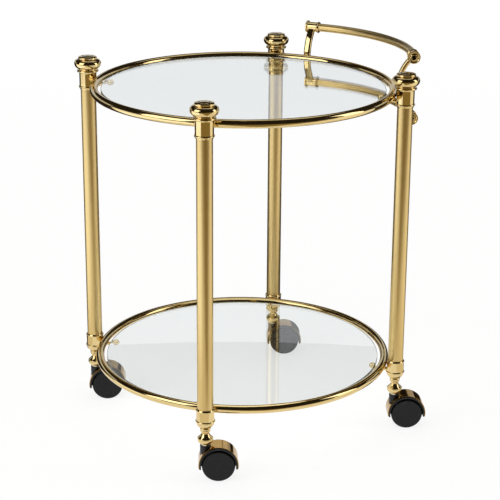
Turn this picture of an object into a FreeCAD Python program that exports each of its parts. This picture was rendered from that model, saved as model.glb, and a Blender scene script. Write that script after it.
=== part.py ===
"""Round two-tier dessert trolley: ring frames, glass shelves, turned posts, rail handle and hooded casters.

Millimetres, +Z up, handle towards +Y. The origin is the centre of the foot print, on the floor.
"""
import FreeCAD
import Part
import Sketcher
import math
import os

document = FreeCAD.newDocument("dessert_trolley")


# ----------------------------------------------------------------------------------------------------
# Driving dimensions
# ----------------------------------------------------------------------------------------------------

DIMENSIONS = [
    # frame
    ("post_circle_radius", 250.0, "trolley axis to each post axis"),
    ("post_angle", 45.0, "degrees from a side of the trolley to a post"),
    ("shelf_spacing", 438.0, "between the centre lines of the two rings"),
    ("ring_tube_radius", 6.5, "outside of the ring tube"),
    ("ring_gap", 0.3, "between a ring and the sleeves it stands against"),
    # glass
    ("glass_thickness", 5.0, "clear glass shelf"),
    ("glass_gap", 4.0, "from the edge of the glass to the ring"),
    ("glass_arris", 0.7, "ground corner of the glass edge"),
    # glass pins
    ("pin_radius", 2.8, "rod of a glass pin"),
    ("pin_tip", 7.0, "how far a pin reaches into its post tube"),
    ("pin_seat", 0.5, "depth of the neck in which the ring lies on a pin"),
    ("knob_radius", 4.6, "knob that the glass lies on"),
    ("knob_length", 9.0, "length of that knob"),
    ("knob_shoulder", 1.2, "rounding of the knob towards its rod"),
    ("knob_inset", 6.5, "from the edge of the glass to the middle of a knob"),
    ("pin_hole_fit", 0.1, "round a pin in its holes"),
    # post tubes
    ("tube_radius", 12.0, "outside of a post tube"),
    ("tube_wall", 1.2, "wall of a post tube"),
    ("tube_fit", 0.05, "round a tube in its sleeves"),
    ("top_insert_length", 22.5, "threaded plug in a tube's upper end"),
    ("bottom_insert_length", 16.0, "threaded plug in a tube's lower end"),
    ("insert_fit", 0.02, "round a plug in its tube"),
    ("thread_radius", 4.0, "threaded studs of the finials and casters"),
    ("thread_fit", 0.08, "round those studs"),
    ("edge_break", 0.6, "broken edges of studs, screws and turned ends"),
    # upper sleeve, heights from the ring's centre line
    ("sleeve_radius", 13.6, "outside of a sleeve"),
    ("sleeve_drop", 16.5, "lower end of the upper sleeve, below the ring"),
    ("sleeve_rise", 14.0, "top of the upper sleeve, above the ring"),
    ("sleeve_crown", 5.0, "solid top of the upper sleeve, over the tube"),
    ("sleeve_lip", 13.1, "radius at the lower end of the upper sleeve"),
    ("bead_radius", 14.8, "beads that end a sleeve"),
    ("bead_width", 3.4, "width of those beads"),
    ("flange_radius", 17.1, "flange bead under a finial"),
    ("flange_width", 3.8, "width of the flange bead"),
    # finial, heights from its seat on the sleeve
    ("waist_radius", 13.8, "waist under the bulb"),
    ("waist_height", 1.6, "height of that waist"),
    ("bulb_swell", 2.0, "fullness of the bulb below its widest part"),
    ("bulb_shoulder", 1.7, "fullness of the bulb above it"),
    ("bulb_radius", 21.0, "widest part of the finial"),
    ("bulb_height", 9.6, "height of the widest part"),
    ("bulb_top", 16.2, "top of the bulb"),
    ("cap_radius", 14.6, "flat cap of the finial"),
    ("cap_groove", 1.0, "depth of the groove under the cap"),
    ("cap_height", 20.2, "top of the cap's edge"),
    ("cap_edge", 1.0, "rounding of the cap's edge"),
    ("cap_dome", 1.1, "rise of the cap's face"),
    ("cap_flat", 3.0, "radius of the flat in the middle of that face"),
    ("stud_length", 20.0, "stud under the finial"),
    # foot socket, heights from its foot
    ("foot_radius", 7.6, "foot and collar of the socket"),
    ("foot_height", 1.4, "plain foot under the ball"),
    ("ball_radius", 11.7, "ball above the foot"),
    ("ball_height", 10.2, "height of the ball's widest part"),
    ("ball_top", 17.6, "where the ball runs into the neck"),
    ("ball_swell", 2.2, "fullness of the ball below its widest part"),
    ("ball_shoulder", 1.3, "fullness of the ball above it"),
    ("neck_radius", 6.1, "neck over the ball"),
    ("collar_base", 19.6, "lower end of the collar"),
    ("collar_top", 27.6, "upper end of the collar"),
    ("collar_swell", 0.9, "fullness of the collar"),
    ("cup_overhang", 1.0, "foot of the cup, beyond the neck"),
    ("cup_top", 36.4, "top of the cup"),
    ("cup_swell", 1.9, "fullness of the cup"),
    ("socket_ring_height", 49.5, "centre line of the lower ring above the foot"),
    ("seat_floor", 0.9, "metal between a pin's hole and the shoulder that the post tube stands on"),
    ("tube_socket_depth", 13.5, "how deep the post tube stands in the socket"),
    # handle
    ("rail_spread", 48.0, "each rail above and below the upper ring"),
    ("rail_radius", 6.5, "a handle rail"),
    ("rail_bend_radius", 229.6, "bend of the rails, as of the rings"),
    ("rail_half_angle", 33.0, "degrees from the middle of a rail to its straight end"),
    ("arm_bow", 22.0, "how far an arm bows in from the rails to the ring"),
    ("arm_thickness", 7.6, "arm, across its bow"),
    ("arm_width", 11.6, "arm, along the rails"),
    ("arm_edge", 3.2, "rounding of the arm's long edges"),
    ("arm_seat", 1.8, "depth of the saddle in which the arm meets the ring"),
    ("braze_gap", 0.02, "film in the saddles of the arms"),
    # handle corners, lengths along the rail from the arm
    ("corner_radius", 7.9, "barrel of a corner fitting"),
    ("corner_collar_radius", 9.4, "collar on the rail's side"),
    ("corner_collar_width", 3.6, "width of that collar"),
    ("corner_inner", 12.2, "arm to the collar's end"),
    ("corner_flange_radius", 10.0, "flange at the outer end"),
    ("corner_flange_width", 3.2, "width of that flange"),
    ("corner_outer", 10.0, "arm to the outer end"),
    ("corner_cove", 0.8, "hollow where barrel and flange meet"),
    ("rail_straight", 12.6, "straight end of a rail, from the arm"),
    ("rail_entry", 1.0, "how far a rail reaches past the arm's centre"),
    ("rail_fit", 0.05, "round a rail in its corner"),
    ("eye_radius", 3.4, "hole in the outer end that sinks the screw"),
    ("eye_depth", 5.6, "depth of that hole"),
    ("eye_rim", 1.2, "rim between the hole and its ring groove"),
    ("eye_groove", 0.9, "depth of the ring groove round the hole"),
    ("screw_head_radius", 3.1, "socket screw of a corner"),
    ("screw_head_height", 2.6, "height of its head"),
    ("screw_radius", 1.9, "its shank"),
    ("screw_reach", 9.0, "how far its shank reaches past the arm"),
    ("screw_socket", 1.35, "half the width of its hexagon socket"),
    ("screw_socket_depth", 1.6, "depth of that socket"),
    ("screw_fit", 0.08, "round the screw"),
    # caster
    ("wheel_radius", 25.0, "caster wheel"),
    ("wheel_width", 11.4, "one wheel"),
    ("wheel_rim", 4.2, "rim of a wheel, across the tread"),
    ("wheel_face", 2.6, "outer face of a wheel"),
    ("wheel_edge", 2.2, "rounding of the outer edge"),
    ("wheel_bevel", 0.8, "bevel of the inner edge"),
    ("hub_radius", 6.2, "hub inside a wheel"),
    ("web_width", 9.0, "web of the caster body, between the wheels"),
    ("wheel_side_gap", 0.5, "between the web and a wheel"),
    ("rim_proud", 0.4, "how far the fender stands out past the wheels"),
    ("trail_inset", 5.7, "swivel axis inside the front of the wheel"),
    ("caster_angle", 60.0, "degrees that the casters are turned at rest"),
    ("neck_rise", 4.0, "top of the caster's neck above the top of the wheel"),
    ("caster_neck_radius", 8.2, "neck round the stem"),
    ("neck_edge", 0.8, "bevel at the top of the neck"),
    ("fender_gap", 1.6, "wheel to fender"),
    ("fender_wall", 2.4, "wall of the fender"),
    ("fender_drop", 5.0, "ends of the fender, below the axle"),
    ("hood_gap", 0.05, "fender to hood"),
    ("hood_wall", 1.1, "sheet of the hood"),
    ("hood_inset", 2.3, "edge of the fender to the edge of the hood"),
    ("neck_slot_gap", 0.3, "hood to neck"),
    ("axle_radius", 3.0, "caster axle"),
    ("axle_fit", 0.06, "wheel or stem on its pin"),
    ("axle_press", 0.02, "axle in the web"),
    ("axle_end_gap", 0.4, "end of the axle to the wheel's face"),
    ("axle_bevel", 0.5, "bevel at an end of the axle"),
    ("axle_tip", 1.6, "end of the axle, beyond its snap groove"),
    ("swivel_gap", 0.3, "caster neck to the stem's collar"),
    ("stem_radius", 3.0, "journal in the caster's neck"),
    ("stem_depth", 20.0, "how far the journal reaches into the neck"),
    ("stem_end_gap", 0.5, "under the end of the journal"),
    ("stem_collar_radius", 6.6, "collar of the stem"),
    ("stem_collar_height", 1.0, "height of that collar"),
    ("stem_tip", 2.4, "end of the journal, below its groove"),
    ("stem_top_gap", 1.0, "top of the stem to the top of its plug"),
    ("snap_width", 1.4, "lip that snaps into the groove"),
    ("snap_depth", 0.5, "depth of the snap groove"),
    ("snap_play", 0.3, "groove wider than the lip, each side"),
]

sheet = document.addObject("Spreadsheet::Sheet", "Sizes")
for row, (alias, number, note) in enumerate(DIMENSIONS, start=1):
    sheet.set(f"A{row}", alias)
    sheet.set(f"B{row}", str(number))
    sheet.set(f"C{row}", note)
    sheet.setAlias(f"B{row}", alias)
document.recompute()


class Size:
    """A value together with the formula that gives it from the sheet."""

    def __init__(self, number, formula):
        self.number = number
        self.formula = formula

    def joined(self, other, sign, number):
        return Size(number, f"({self.formula} {sign} {as_size(other).formula})")

    def __add__(self, other):
        return self.joined(other, "+", self.number + as_size(other).number)

    def __sub__(self, other):
        return self.joined(other, "-", self.number - as_size(other).number)

    def __mul__(self, other):
        return self.joined(other, "*", self.number * as_size(other).number)

    def __truediv__(self, other):
        return self.joined(other, "/", self.number / as_size(other).number)

    def __neg__(self):
        return Size(-self.number, f"(-1 * {self.formula})")


def as_size(value):
    return value if isinstance(value, Size) else Size(float(value), repr(float(value)))


def root(value):
    return Size(math.sqrt(value.number), f"sqrt({value.formula})")


def cosine(angle):
    return Size(math.cos(math.radians(angle.number)), f"cos({angle.formula})")


def sine(angle):
    return Size(math.sin(math.radians(angle.number)), f"sin({angle.formula})")


def arc_sine(ratio):
    return Size(math.degrees(math.asin(ratio.number)), f"asin({ratio.formula})")


def size(alias):
    return Size(float(sheet.get(alias)), f"Sizes.{alias}")


# ----------------------------------------------------------------------------------------------------
# Sizes worked out from them
# ----------------------------------------------------------------------------------------------------

ring_tube_radius = size("ring_tube_radius")
ring_radius = size("post_circle_radius") - size("sleeve_radius") - size("ring_gap") - ring_tube_radius
glass_radius = ring_radius - ring_tube_radius - size("glass_gap")

rail_bend_radius = size("rail_bend_radius")
rail_radius = size("rail_radius")
half_angle = size("rail_half_angle")
rail_straight = size("rail_straight")
arm_seat_radius = ring_radius + ring_tube_radius + size("arm_thickness") / 2 - size("arm_seat")
arm_foot = rail_bend_radius - size("arm_bow")
arm_foot_side = arm_foot * sine(half_angle) + rail_straight * cosine(half_angle)
arm_foot_back = arm_foot * cosine(half_angle) - rail_straight * sine(half_angle)
rail_centre = root(arm_seat_radius * arm_seat_radius - arm_foot_side * arm_foot_side) - arm_foot_back

rear_reach = rail_centre + rail_bend_radius + rail_radius
front_reach = ring_radius + ring_tube_radius
axis_y = (front_reach - rear_reach) / 2

wheel_radius = size("wheel_radius")
caster_trail = wheel_radius - size("trail_inset")
caster_height = wheel_radius * 2 + size("neck_rise")
socket_foot = caster_height + size("swivel_gap") + size("stem_collar_height")
lower_ring_height = socket_foot + size("socket_ring_height")
upper_ring_height = lower_ring_height + size("shelf_spacing")

pin_drop = ring_tube_radius + size("pin_radius") - size("pin_seat")
glass_base = size("knob_radius") - pin_drop
knob_distance = size("post_circle_radius") - glass_radius + size("knob_inset")

tube_inner = size("tube_radius") - size("tube_wall")
pin_hole_radius = size("pin_radius") + size("pin_hole_fit")
tube_seat = size("socket_ring_height") - pin_drop + pin_hole_radius + size("seat_floor")
tube_base = socket_foot + tube_seat
sleeve_seat = size("sleeve_rise") - size("sleeve_crown")
tube_length = upper_ring_height + sleeve_seat - tube_base
edge_break = size("edge_break")

wheel_inner_side = size("web_width") / 2 + size("wheel_side_gap")
wheel_outer_side = wheel_inner_side + size("wheel_width")
fender_half_width = wheel_outer_side + size("rim_proud")
fender_inner = wheel_radius + size("fender_gap")
fender_outer = fender_inner + size("fender_wall")
hood_inner = fender_outer + size("hood_gap")
hood_outer = hood_inner + size("hood_wall")

QUARTER_RISE = 1 - math.sqrt(0.5)

POSTS = {
    "rear_right": 0,
    "rear_left": 90,
    "front_left": 180,
    "front_right": 270,
}


# ----------------------------------------------------------------------------------------------------
# Drawing and building helpers
# ----------------------------------------------------------------------------------------------------

def new_body(label):
    body = document.addObject("PartDesign::Body", label)
    body.Label = label
    return body


def new_sketch(body, name, plane="XZ_Plane"):
    sketch = body.newObject("Sketcher::SketchObject", name)
    for feature in body.Origin.OriginFeatures:
        if feature.Role == plane:
            sketch.AttachmentSupport = [(feature, "")]
    sketch.MapMode = "FlatFace"
    return sketch


class Drawing:
    """Lines, arcs and circles for a sketch, each point and radius held at its size."""

    def __init__(self):
        self.shapes = []
        self.constraints = []
        self.formulas = {}

    def hold(self, value, kind, *references):
        self.formulas[len(self.constraints)] = value.formula
        self.constraints.append(Sketcher.Constraint(kind, *references, value.number))

    def hold_point(self, shape, end, point):
        for kind, axis, value in (("DistanceX", -2, point[0]), ("DistanceY", -1, point[1])):
            if value.number == 0:
                self.constraints.append(Sketcher.Constraint("PointOnObject", shape, end, axis))
            else:
                self.hold(value, kind, -1, 1, shape, end)

    def line(self, first, last):
        start = FreeCAD.Vector(first[0].number, first[1].number, 0)
        stop = FreeCAD.Vector(last[0].number, last[1].number, 0)
        self.shapes.append(Part.LineSegment(start, stop))
        self.hold_point(len(self.shapes) - 1, 2, last)
        return 1, 2

    def arc(self, first, last, rise):
        """The arc between two points that rises so far to the right of the way between them."""
        across = last[0] - first[0]
        up = last[1] - first[1]
        side = 1 if rise.number > 0 else -1
        height = rise * side
        radius = (across * across + up * up) / (height * 8) + height / 2
        offset = side * (radius.number - height.number) / math.hypot(across.number, up.number)
        centre_x = (first[0].number + last[0].number) / 2 - up.number * offset
        centre_y = (first[1].number + last[1].number) / 2 + across.number * offset
        angles = [math.atan2(point[1].number - centre_y, point[0].number - centre_x)
                  for point in (first, last)[::side]]
        circle = Part.Circle(FreeCAD.Vector(centre_x, centre_y, 0), FreeCAD.Vector(0, 0, 1), radius.number)
        self.shapes.append(Part.ArcOfCircle(circle, *angles))
        self.hold(radius, "Radius", len(self.shapes) - 1)
        self.hold_point(len(self.shapes) - 1, (1, 2)[::side][1], last)
        return (1, 2)[::side]

    def circle(self, centre, radius):
        middle = FreeCAD.Vector(centre[0].number, centre[1].number, 0)
        self.shapes.append(Part.Circle(middle, FreeCAD.Vector(0, 0, 1), radius.number))
        self.hold(radius, "Radius", len(self.shapes) - 1)
        self.hold_point(len(self.shapes) - 1, 3, centre)

    def join(self, before, stop, after, start):
        self.constraints.append(Sketcher.Constraint("Coincident", before, stop, after, start))

    def draw_on(self, sketch):
        sketch.addGeometry(self.shapes, False)
        sketch.addConstraint(self.constraints)
        for number, formula in self.formulas.items():
            sketch.setExpression(f"Constraints[{number}]", formula)


def draw_outline(sketch, *steps):
    """Draw a closed outline. A step is (across, up), or (across, up, rise) where an arc leads to it."""
    steps = [tuple(as_size(value) for value in step) for step in steps]
    drawing = Drawing()
    ends = []
    for number, step in enumerate(steps):
        first = steps[number - 1]
        if len(step) == 3:
            ends.append(drawing.arc(first, step, step[2]))
        else:
            ends.append(drawing.line(first, step))
    for number, (start, _) in enumerate(ends):
        before = (number - 1) % len(ends)
        drawing.join(before, ends[before][1], number, start)
    drawing.draw_on(sketch)


def draw_circles(sketch, *circles):
    """Draw circles, each given as (across, up, radius)."""
    drawing = Drawing()
    for across, up, radius in circles:
        drawing.circle((as_size(across), as_size(up)), as_size(radius))
    drawing.draw_on(sketch)


def revolve(body, sketch, axis="V_Axis", angle=None):
    """Turn a profile round an axis of its sketch, all round or through an angle that it halves."""
    feature = body.newObject("PartDesign::Revolution", f"{sketch.Name}_turned")
    feature.Profile = sketch
    feature.ReferenceAxis = (sketch, [axis])
    feature.Angle = 360
    if angle is not None:
        feature.Midplane = True
        feature.setExpression("Angle", angle.formula)
    return feature


def groove(body, sketch, axis="V_Axis"):
    feature = body.newObject("PartDesign::Groove", f"{sketch.Name}_cut")
    feature.Profile = sketch
    feature.ReferenceAxis = (sketch, [axis])
    feature.Angle = 360
    return feature


def pad(body, sketch, length, symmetric=False):
    feature = body.newObject("PartDesign::Pad", f"{sketch.Name}_pad")
    feature.Profile = sketch
    feature.setExpression("Length", as_size(length).formula)
    if symmetric:
        feature.SideType = "Symmetric"
    return feature


def pocket(body, sketch, length, symmetric=False, reversed_side=False):
    feature = body.newObject("PartDesign::Pocket", f"{sketch.Name}_pocket")
    feature.Profile = sketch
    feature.setExpression("Length", as_size(length).formula)
    feature.Reversed = reversed_side
    if symmetric:
        feature.SideType = "Symmetric"
    return feature


def place(item, across, along, up, turn=None, axis=(0, 0, 1)):
    """Put an item at its place, turned about an axis by so many degrees, all by formula."""
    for letter, value in zip("xyz", (across, along, up)):
        item.setExpression(f"Placement.Base.{letter}", as_size(value).formula)
    if turn is not None:
        item.Placement.Rotation = FreeCAD.Rotation(FreeCAD.Vector(*axis), 0.0)
        item.Placement.Rotation.Axis = FreeCAD.Vector(*axis)
        item.setExpression("Placement.Rotation.Angle", as_size(turn).formula)


def place_at_post(item, post, up):
    """Put an item on the axis of a post, its +X towards the trolley's axis."""
    angle = size("post_angle") + POSTS[post]
    across = size("post_circle_radius") * cosine(angle)
    along = axis_y + size("post_circle_radius") * sine(angle)
    place(item, across, along, up, angle + 180)


finished = {}


def finish(item, label):
    """Name an item as a sub-part of the trolley."""
    item.Label = label
    finished[label] = item


# ----------------------------------------------------------------------------------------------------
# Rings and glass
# ----------------------------------------------------------------------------------------------------

def make_ring(label, height):
    ring = new_body(label)
    section = new_sketch(ring, f"{label}_section")
    draw_circles(section, (ring_radius, 0, ring_tube_radius))
    revolve(ring, section)
    place(ring, 0, axis_y, height)
    finish(ring, label)


def make_glass(label, height):
    """A disc with a ground edge, lying on the knobs of its pins."""
    glass = new_body(label)
    arris = size("glass_arris")
    thickness = size("glass_thickness")
    section = new_sketch(glass, f"{label}_section")
    draw_outline(
        section,
        (0, 0),
        (glass_radius - arris, 0),
        (glass_radius, arris),
        (glass_radius, thickness - arris),
        (glass_radius - arris, thickness),
        (0, thickness),
    )
    revolve(glass, section)
    place(glass, 0, axis_y, height + glass_base)
    finish(glass, label)


def make_pin(name, post, height):
    """One glass pin: rod, neck under the ring, and knob. It lies along +X from the post's axis."""
    pin = new_body(name)
    rod = size("pin_radius")
    tip = size("pin_tip")
    ring_at = size("post_circle_radius") - ring_radius
    neck_rise = ring_tube_radius - size("pin_seat")
    half_neck = root(ring_tube_radius * ring_tube_radius - neck_rise * neck_rise)
    knob = size("knob_radius")
    shoulder = size("knob_shoulder")
    knob_start = knob_distance - size("knob_length") / 2
    knob_end = knob_distance + size("knob_length") / 2
    section = new_sketch(pin, f"{name}_section")
    draw_outline(
        section,
        (tip, 0),
        (knob_end, 0),
        (knob_end - knob, knob, knob * QUARTER_RISE),
        (knob_start + shoulder, knob),
        (knob_start, knob - shoulder, shoulder * QUARTER_RISE),
        (knob_start, rod),
        (ring_at + half_neck, rod),
        (ring_at - half_neck, rod, -size("pin_seat")),
        (tip, rod),
    )
    revolve(pin, section, axis="H_Axis")
    place_at_post(pin, post, height - pin_drop)
    return pin


def make_pins(label, height):
    pins = [make_pin(f"{label}_{post}", post, height) for post in POSTS]
    group = document.addObject("Part::Compound", label)
    group.Links = pins
    finish(group, label)


# ----------------------------------------------------------------------------------------------------
# Posts
# ----------------------------------------------------------------------------------------------------

def drill_for_pin(body, name, height, depth):
    """The hole, open towards the trolley's axis, in which a glass pin stands."""
    start = size("pin_tip") - size("pin_hole_fit")
    hole = new_sketch(body, name, "YZ_Plane")
    draw_circles(hole, (0, height, pin_hole_radius))
    hole.setExpression("AttachmentOffset.Base.z", start.formula)
    pocket(body, hole, depth, reversed_side=True)


def make_tube(post):
    label = f"post_tube_{post}"
    tube = new_body(label)
    section = new_sketch(tube, f"{label}_section", "XY_Plane")
    draw_circles(section, (0, 0, size("tube_radius")), (0, 0, tube_inner))
    pad(tube, section, tube_length)
    drill_for_pin(tube, f"{label}_hole", upper_ring_height - pin_drop - tube_base, size("tube_radius"))
    place_at_post(tube, post, tube_base)
    finish(tube, label)


def make_upper_sleeve(post):
    """Polished sleeve over the tube's upper end: lower bead, plain barrel and flange bead."""
    label = f"upper_sleeve_{post}"
    sleeve = new_body(label)
    barrel = size("sleeve_radius")
    lip = size("sleeve_lip")
    drop = size("sleeve_drop")
    rise = size("sleeve_rise")
    bore = size("tube_radius") + size("tube_fit")
    stud_hole = size("thread_radius") + size("thread_fit")
    bead = size("bead_width")
    bead_base = -drop + (bead / 2)
    bead_rise = size("bead_radius") - barrel
    flange_base = rise - size("flange_width")
    flange_root = size("flange_radius") - size("flange_width") / 2
    section = new_sketch(sleeve, f"{label}_section")
    draw_outline(
        section,
        (bore, -drop),
        (lip, -drop),
        (barrel, bead_base),
        (barrel, bead_base + bead, bead_rise),
        (barrel, flange_base - bead / 2),
        (flange_root, flange_base, -bead / 6),
        (flange_root, rise, size("flange_width") / 2 - 0.01),
        (stud_hole, rise),
        (stud_hole, sleeve_seat),
        (bore, sleeve_seat),
    )
    revolve(sleeve, section)
    drill_for_pin(sleeve, f"{label}_hole", -pin_drop, size("bead_radius"))
    place_at_post(sleeve, post, upper_ring_height)
    finish(sleeve, label)


def make_finial(post):
    """Turned finial: waist, bulb, groove and flat domed cap, over a threaded stud."""
    label = f"finial_{post}"
    finial = new_body(label)
    waist = size("waist_radius")
    bulb = size("bulb_radius")
    cap = size("cap_radius")
    cap_top = size("cap_height")
    edge = size("cap_edge")
    groove_depth = size("cap_groove")
    stud = size("thread_radius")
    section = new_sketch(finial, f"{label}_section")
    draw_outline(
        section,
        (0, cap_top + size("cap_dome")),
        (0, -size("stud_length")),
        (stud - edge_break, -size("stud_length")),
        (stud, edge_break - size("stud_length")),
        (stud, 0),
        (waist, 0),
        (waist, size("waist_height")),
        (bulb, size("bulb_height"), size("bulb_swell")),
        (cap + groove_depth, size("bulb_top"), size("bulb_shoulder")),
        (cap - groove_depth, size("bulb_top") + groove_depth / 2),
        (cap, size("bulb_top") + groove_depth),
        (cap, cap_top - edge),
        (cap - edge, cap_top, edge * QUARTER_RISE),
        (size("cap_flat"), cap_top + size("cap_dome"), size("cap_dome") / 4),
    )
    revolve(finial, section)
    place_at_post(finial, post, upper_ring_height + size("sleeve_rise"))
    finish(finial, label)


def make_foot_socket(post):
    """Turned foot: ball, neck, collar, cup and sleeve, bored for the tube and the caster's stem."""
    label = f"foot_socket_{post}"
    socket = new_body(label)
    foot = size("foot_radius")
    foot_height = size("foot_height")
    ball = size("ball_radius")
    ball_height = size("ball_height")
    neck = size("neck_radius")
    collar_middle = (size("collar_base") + size("collar_top")) / 2
    barrel = size("sleeve_radius")
    cup_top = size("cup_top")
    bead = size("bead_width")
    bead_rise = size("bead_radius") - barrel
    top = tube_seat + size("tube_socket_depth")
    bore = size("tube_radius") + size("tube_fit")
    stem_hole = size("thread_radius") + size("thread_fit")
    section = new_sketch(socket, f"{label}_section")
    draw_outline(
        section,
        (stem_hole, 0),
        (foot, 0),
        (foot, foot_height),
        (ball, ball_height, size("ball_swell")),
        (neck, size("ball_top"), size("ball_shoulder")),
        (neck, size("collar_base")),
        (foot, collar_middle, size("collar_swell")),
        (neck + size("cup_overhang"), size("collar_top"), size("collar_swell")),
        (barrel, cup_top, size("cup_swell")),
        (barrel, cup_top + bead, bead_rise),
        (barrel, top - bead),
        (barrel, top - bead / 3, bead_rise / 2),
        (barrel - edge_break, top),
        (bore, top),
        (bore, tube_seat),
        (stem_hole, tube_seat),
    )
    revolve(socket, section)
    drill_for_pin(socket, f"{label}_hole", size("socket_ring_height") - pin_drop, size("bead_radius"))
    place_at_post(socket, post, socket_foot)
    finish(socket, label)


def make_inserts(label, base, length, pin_height=None):
    """The threaded plugs in one end of the four tubes, drilled where a glass pin reaches in."""
    plugs = []
    for post in POSTS:
        plug = new_body(f"{label}_{post}")
        section = new_sketch(plug, f"{label}_{post}_section", "XY_Plane")
        draw_circles(
            section,
            (0, 0, tube_inner - size("insert_fit")),
            (0, 0, size("thread_radius") + size("thread_fit")),
        )
        pad(plug, section, length)
        if pin_height is not None:
            drill_for_pin(plug, f"{label}_{post}_hole", pin_height - base, size("tube_radius"))
        place_at_post(plug, post, base)
        plugs.append(plug)
    group = document.addObject("Part::Compound", label)
    group.Links = plugs
    finish(group, label)


# ----------------------------------------------------------------------------------------------------
# Handle
# ----------------------------------------------------------------------------------------------------

HANDLE_SIDES = {"right": -1, "left": 1}
RAILS = {"upper": 1, "lower": -1}


def rail_height(rail):
    return upper_ring_height + size("rail_spread") * RAILS[rail]


def place_at_arm(item, side, up, inward, turned=0):
    """Put an item so far inward of the rail's end at an arm, its +X outward, or turned to run along the rail."""
    sign = HANDLE_SIDES[side]
    heading = half_angle * sign + 90
    distance = rail_bend_radius - inward
    across = distance * cosine(heading) - rail_straight * sine(heading) * sign
    along = axis_y + rail_centre + distance * sine(heading) + rail_straight * cosine(heading) * sign
    place(item, across, along, up, heading - turned * sign)


def cut(label, base, tool):
    result = document.addObject("Part::Cut", label)
    result.Base = base
    result.Tool = tool
    return result


def make_rail(rail):
    """A bent bar with straight ends, each with the tapped hole of its corner's screw."""
    label = f"handle_{rail}_rail"
    bend = new_body(f"{label}_bend")
    section = new_sketch(bend, f"{label}_section")
    draw_circles(section, (rail_bend_radius, 0, rail_radius))
    revolve(bend, section, angle=half_angle * 2)
    place(bend, 0, axis_y + rail_centre, rail_height(rail), 90)
    pieces = [bend]
    hole = size("screw_radius") + size("screw_fit")
    hole_end = size("screw_reach") + edge_break
    for side in HANDLE_SIDES:
        end = new_body(f"{label}_{side}_end")
        profile = new_sketch(end, f"{label}_{side}_profile")
        draw_outline(
            profile,
            (-size("rail_entry"), hole),
            (hole_end, hole),
            (hole_end, 0),
            (rail_straight, 0),
            (rail_straight, rail_radius),
            (-size("rail_entry"), rail_radius),
        )
        revolve(end, profile, axis="H_Axis")
        place_at_arm(end, side, rail_height(rail), 0, turned=90)
        pieces.append(end)
    whole = document.addObject("Part::MultiFuse", label)
    whole.Shapes = pieces
    finish(whole, label)


def make_corner(rail, side):
    """Turned corner: collar on the rail's side, barrel, and flange with the sunk eye for the screw."""
    label = f"handle_corner_{rail}_{side}"
    corner = new_body(label)
    barrel = size("corner_radius")
    collar = size("corner_collar_radius")
    flange = size("corner_flange_radius")
    cove = size("corner_cove")
    inner = size("corner_inner")
    outer = -size("corner_outer")
    flange_top = outer + size("corner_flange_width")
    bore = rail_radius + size("rail_fit")
    web_inner = -size("rail_entry") - size("rail_fit")
    web_outer = outer + size("eye_depth")
    screw_hole = size("screw_radius") + size("screw_fit")
    eye = size("eye_radius")
    section = new_sketch(corner, f"{label}_section")
    draw_outline(
        section,
        (inner, bore),
        (web_inner, bore),
        (web_inner, screw_hole),
        (web_outer, screw_hole),
        (web_outer, eye),
        (outer, eye),
        (outer, eye + size("eye_rim")),
        (outer, flange - size("eye_rim") - cove, size("eye_groove")),
        (outer, flange - cove),
        (outer + cove, flange, -cove * QUARTER_RISE),
        (flange_top - cove, flange),
        (flange_top + cove, barrel, cove),
        (inner - size("corner_collar_width"), barrel),
        (inner, barrel, barrel - collar),
    )
    revolve(corner, section, axis="H_Axis")
    place_at_arm(corner, side, rail_height(rail), 0, turned=90)
    finish(corner, label)


def make_handle_screw(name, rail, side):
    """Socket screw: its head lies in the corner's eye, its shank in the rail."""
    screw = new_body(name)
    head = size("screw_head_radius")
    shank = size("screw_radius")
    head_base = size("eye_depth") - size("corner_outer")
    head_top = head_base - size("screw_head_height")
    section = new_sketch(screw, f"{name}_section")
    draw_outline(
        section,
        (head_top, 0),
        (head_top, head - edge_break / 2),
        (head_top + edge_break / 2, head),
        (head_base, head),
        (head_base, shank),
        (size("screw_reach"), shank),
        (size("screw_reach"), 0),
    )
    revolve(screw, section, axis="H_Axis")
    hexagon = new_sketch(screw, f"{name}_socket", "YZ_Plane")
    half_flat = size("screw_socket")
    corner = half_flat * (2 / math.sqrt(3))
    draw_outline(
        hexagon,
        (corner, 0),
        (corner / 2, half_flat),
        (-corner / 2, half_flat),
        (-corner, 0),
        (-corner / 2, -half_flat),
        (corner / 2, -half_flat),
    )
    hexagon.setExpression("AttachmentOffset.Base.z", head_top.formula)
    pocket(screw, hexagon, size("screw_socket_depth"), reversed_side=True)
    place_at_arm(screw, side, rail_height(rail), 0, turned=90)
    return screw


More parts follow.
